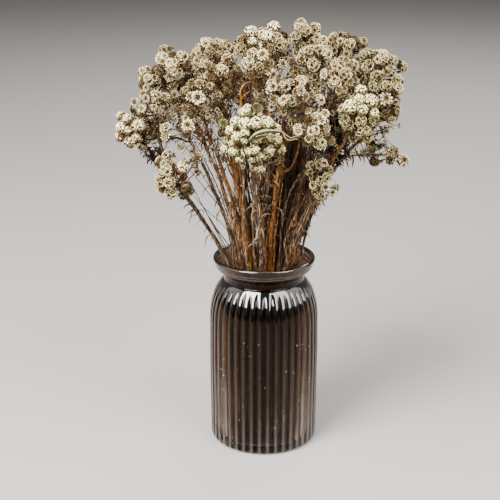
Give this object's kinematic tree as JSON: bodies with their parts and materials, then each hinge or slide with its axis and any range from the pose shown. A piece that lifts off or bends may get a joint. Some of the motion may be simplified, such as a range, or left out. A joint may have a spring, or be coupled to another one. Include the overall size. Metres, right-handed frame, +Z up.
{
  "type": "bunch of dried everlasting daisies in a vase",
  "caption": "Bunch of dried everlasting daisies with papery white flower clusters, standing loose in a ribbed smoked-glass vase.",
  "frame": {"origin": "centre of the vase's underside, where it stands", "axes": "+Z up along the vase's axis, -Y the front, +X the front view's right"},
  "size_m": [0.2786, 0.2523, 0.4231],
  "materials": {
    "smoked_glass": "clear, tinted brown-grey, pressed ribs",
    "papery_bracts": "dry, papery, matte",
    "grey_bark": "dry, hairy, matte",
    "orange_bark": "dry, smooth, satin",
    "woolly_leaf": "felted, matte"
  },
  "bodies": {
    "root": {"flower_cluster_01": "papery_bracts", "flower_cluster_02": "papery_bracts", "flower_cluster_03": "papery_bracts", "flower_cluster_04": "papery_bracts", "flower_cluster_05": "papery_bracts", "flower_cluster_06": "papery_bracts", "flower_cluster_07": "papery_bracts", "flower_cluster_08": "papery_bracts", "flower_cluster_09": "papery_bracts", "flower_cluster_10": "papery_bracts", "flower_cluster_11": "papery_bracts", "flower_cluster_12": "papery_bracts", "flower_cluster_13": "papery_bracts", "flower_cluster_14": "papery_bracts", "flower_cluster_15": "papery_bracts", "flower_cluster_16": "papery_bracts", "flower_cluster_17": "papery_bracts", "flower_cluster_18": "papery_bracts", "flower_cluster_19": "papery_bracts", "flower_cluster_20": "papery_bracts", "flower_cluster_21": "papery_bracts", "flower_cluster_22": "papery_bracts", "flower_cluster_23": "papery_bracts", "flower_cluster_24": "papery_bracts", "flower_cluster_25": "papery_bracts", "flower_cluster_26": "papery_bracts", "flower_cluster_27": "papery_bracts", "flower_cluster_28": "papery_bracts", "flower_cluster_29": "papery_bracts", "flower_cluster_30": "papery_bracts", "flower_cluster_31": "papery_bracts", "flower_cluster_32": "papery_bracts", "flower_cluster_33": "papery_bracts", "flower_cluster_34": "papery_bracts", "flower_cluster_35": "papery_bracts", "green_leaf": "woolly_leaf", "stem_01": "grey_bark", "stem_02": "grey_bark", "stem_03": "orange_bark", "stem_04": "orange_bark", "stem_05": "grey_bark", "stem_06": "grey_bark", "stem_07": "grey_bark", "stem_08": "orange_bark", "stem_09": "grey_bark", "stem_10": "grey_bark", "stem_11": "grey_bark", "stem_12": "grey_bark", "stem_13": "orange_bark", "stem_14": "orange_bark", "stem_15": "grey_bark", "stem_16": "grey_bark", "stem_17": "grey_bark", "stem_18": "grey_bark", "stem_19": "grey_bark", "stem_20": "grey_bark", "stem_21": "grey_bark", "vase": "smoked_glass"}
  },
  "joints": []
}
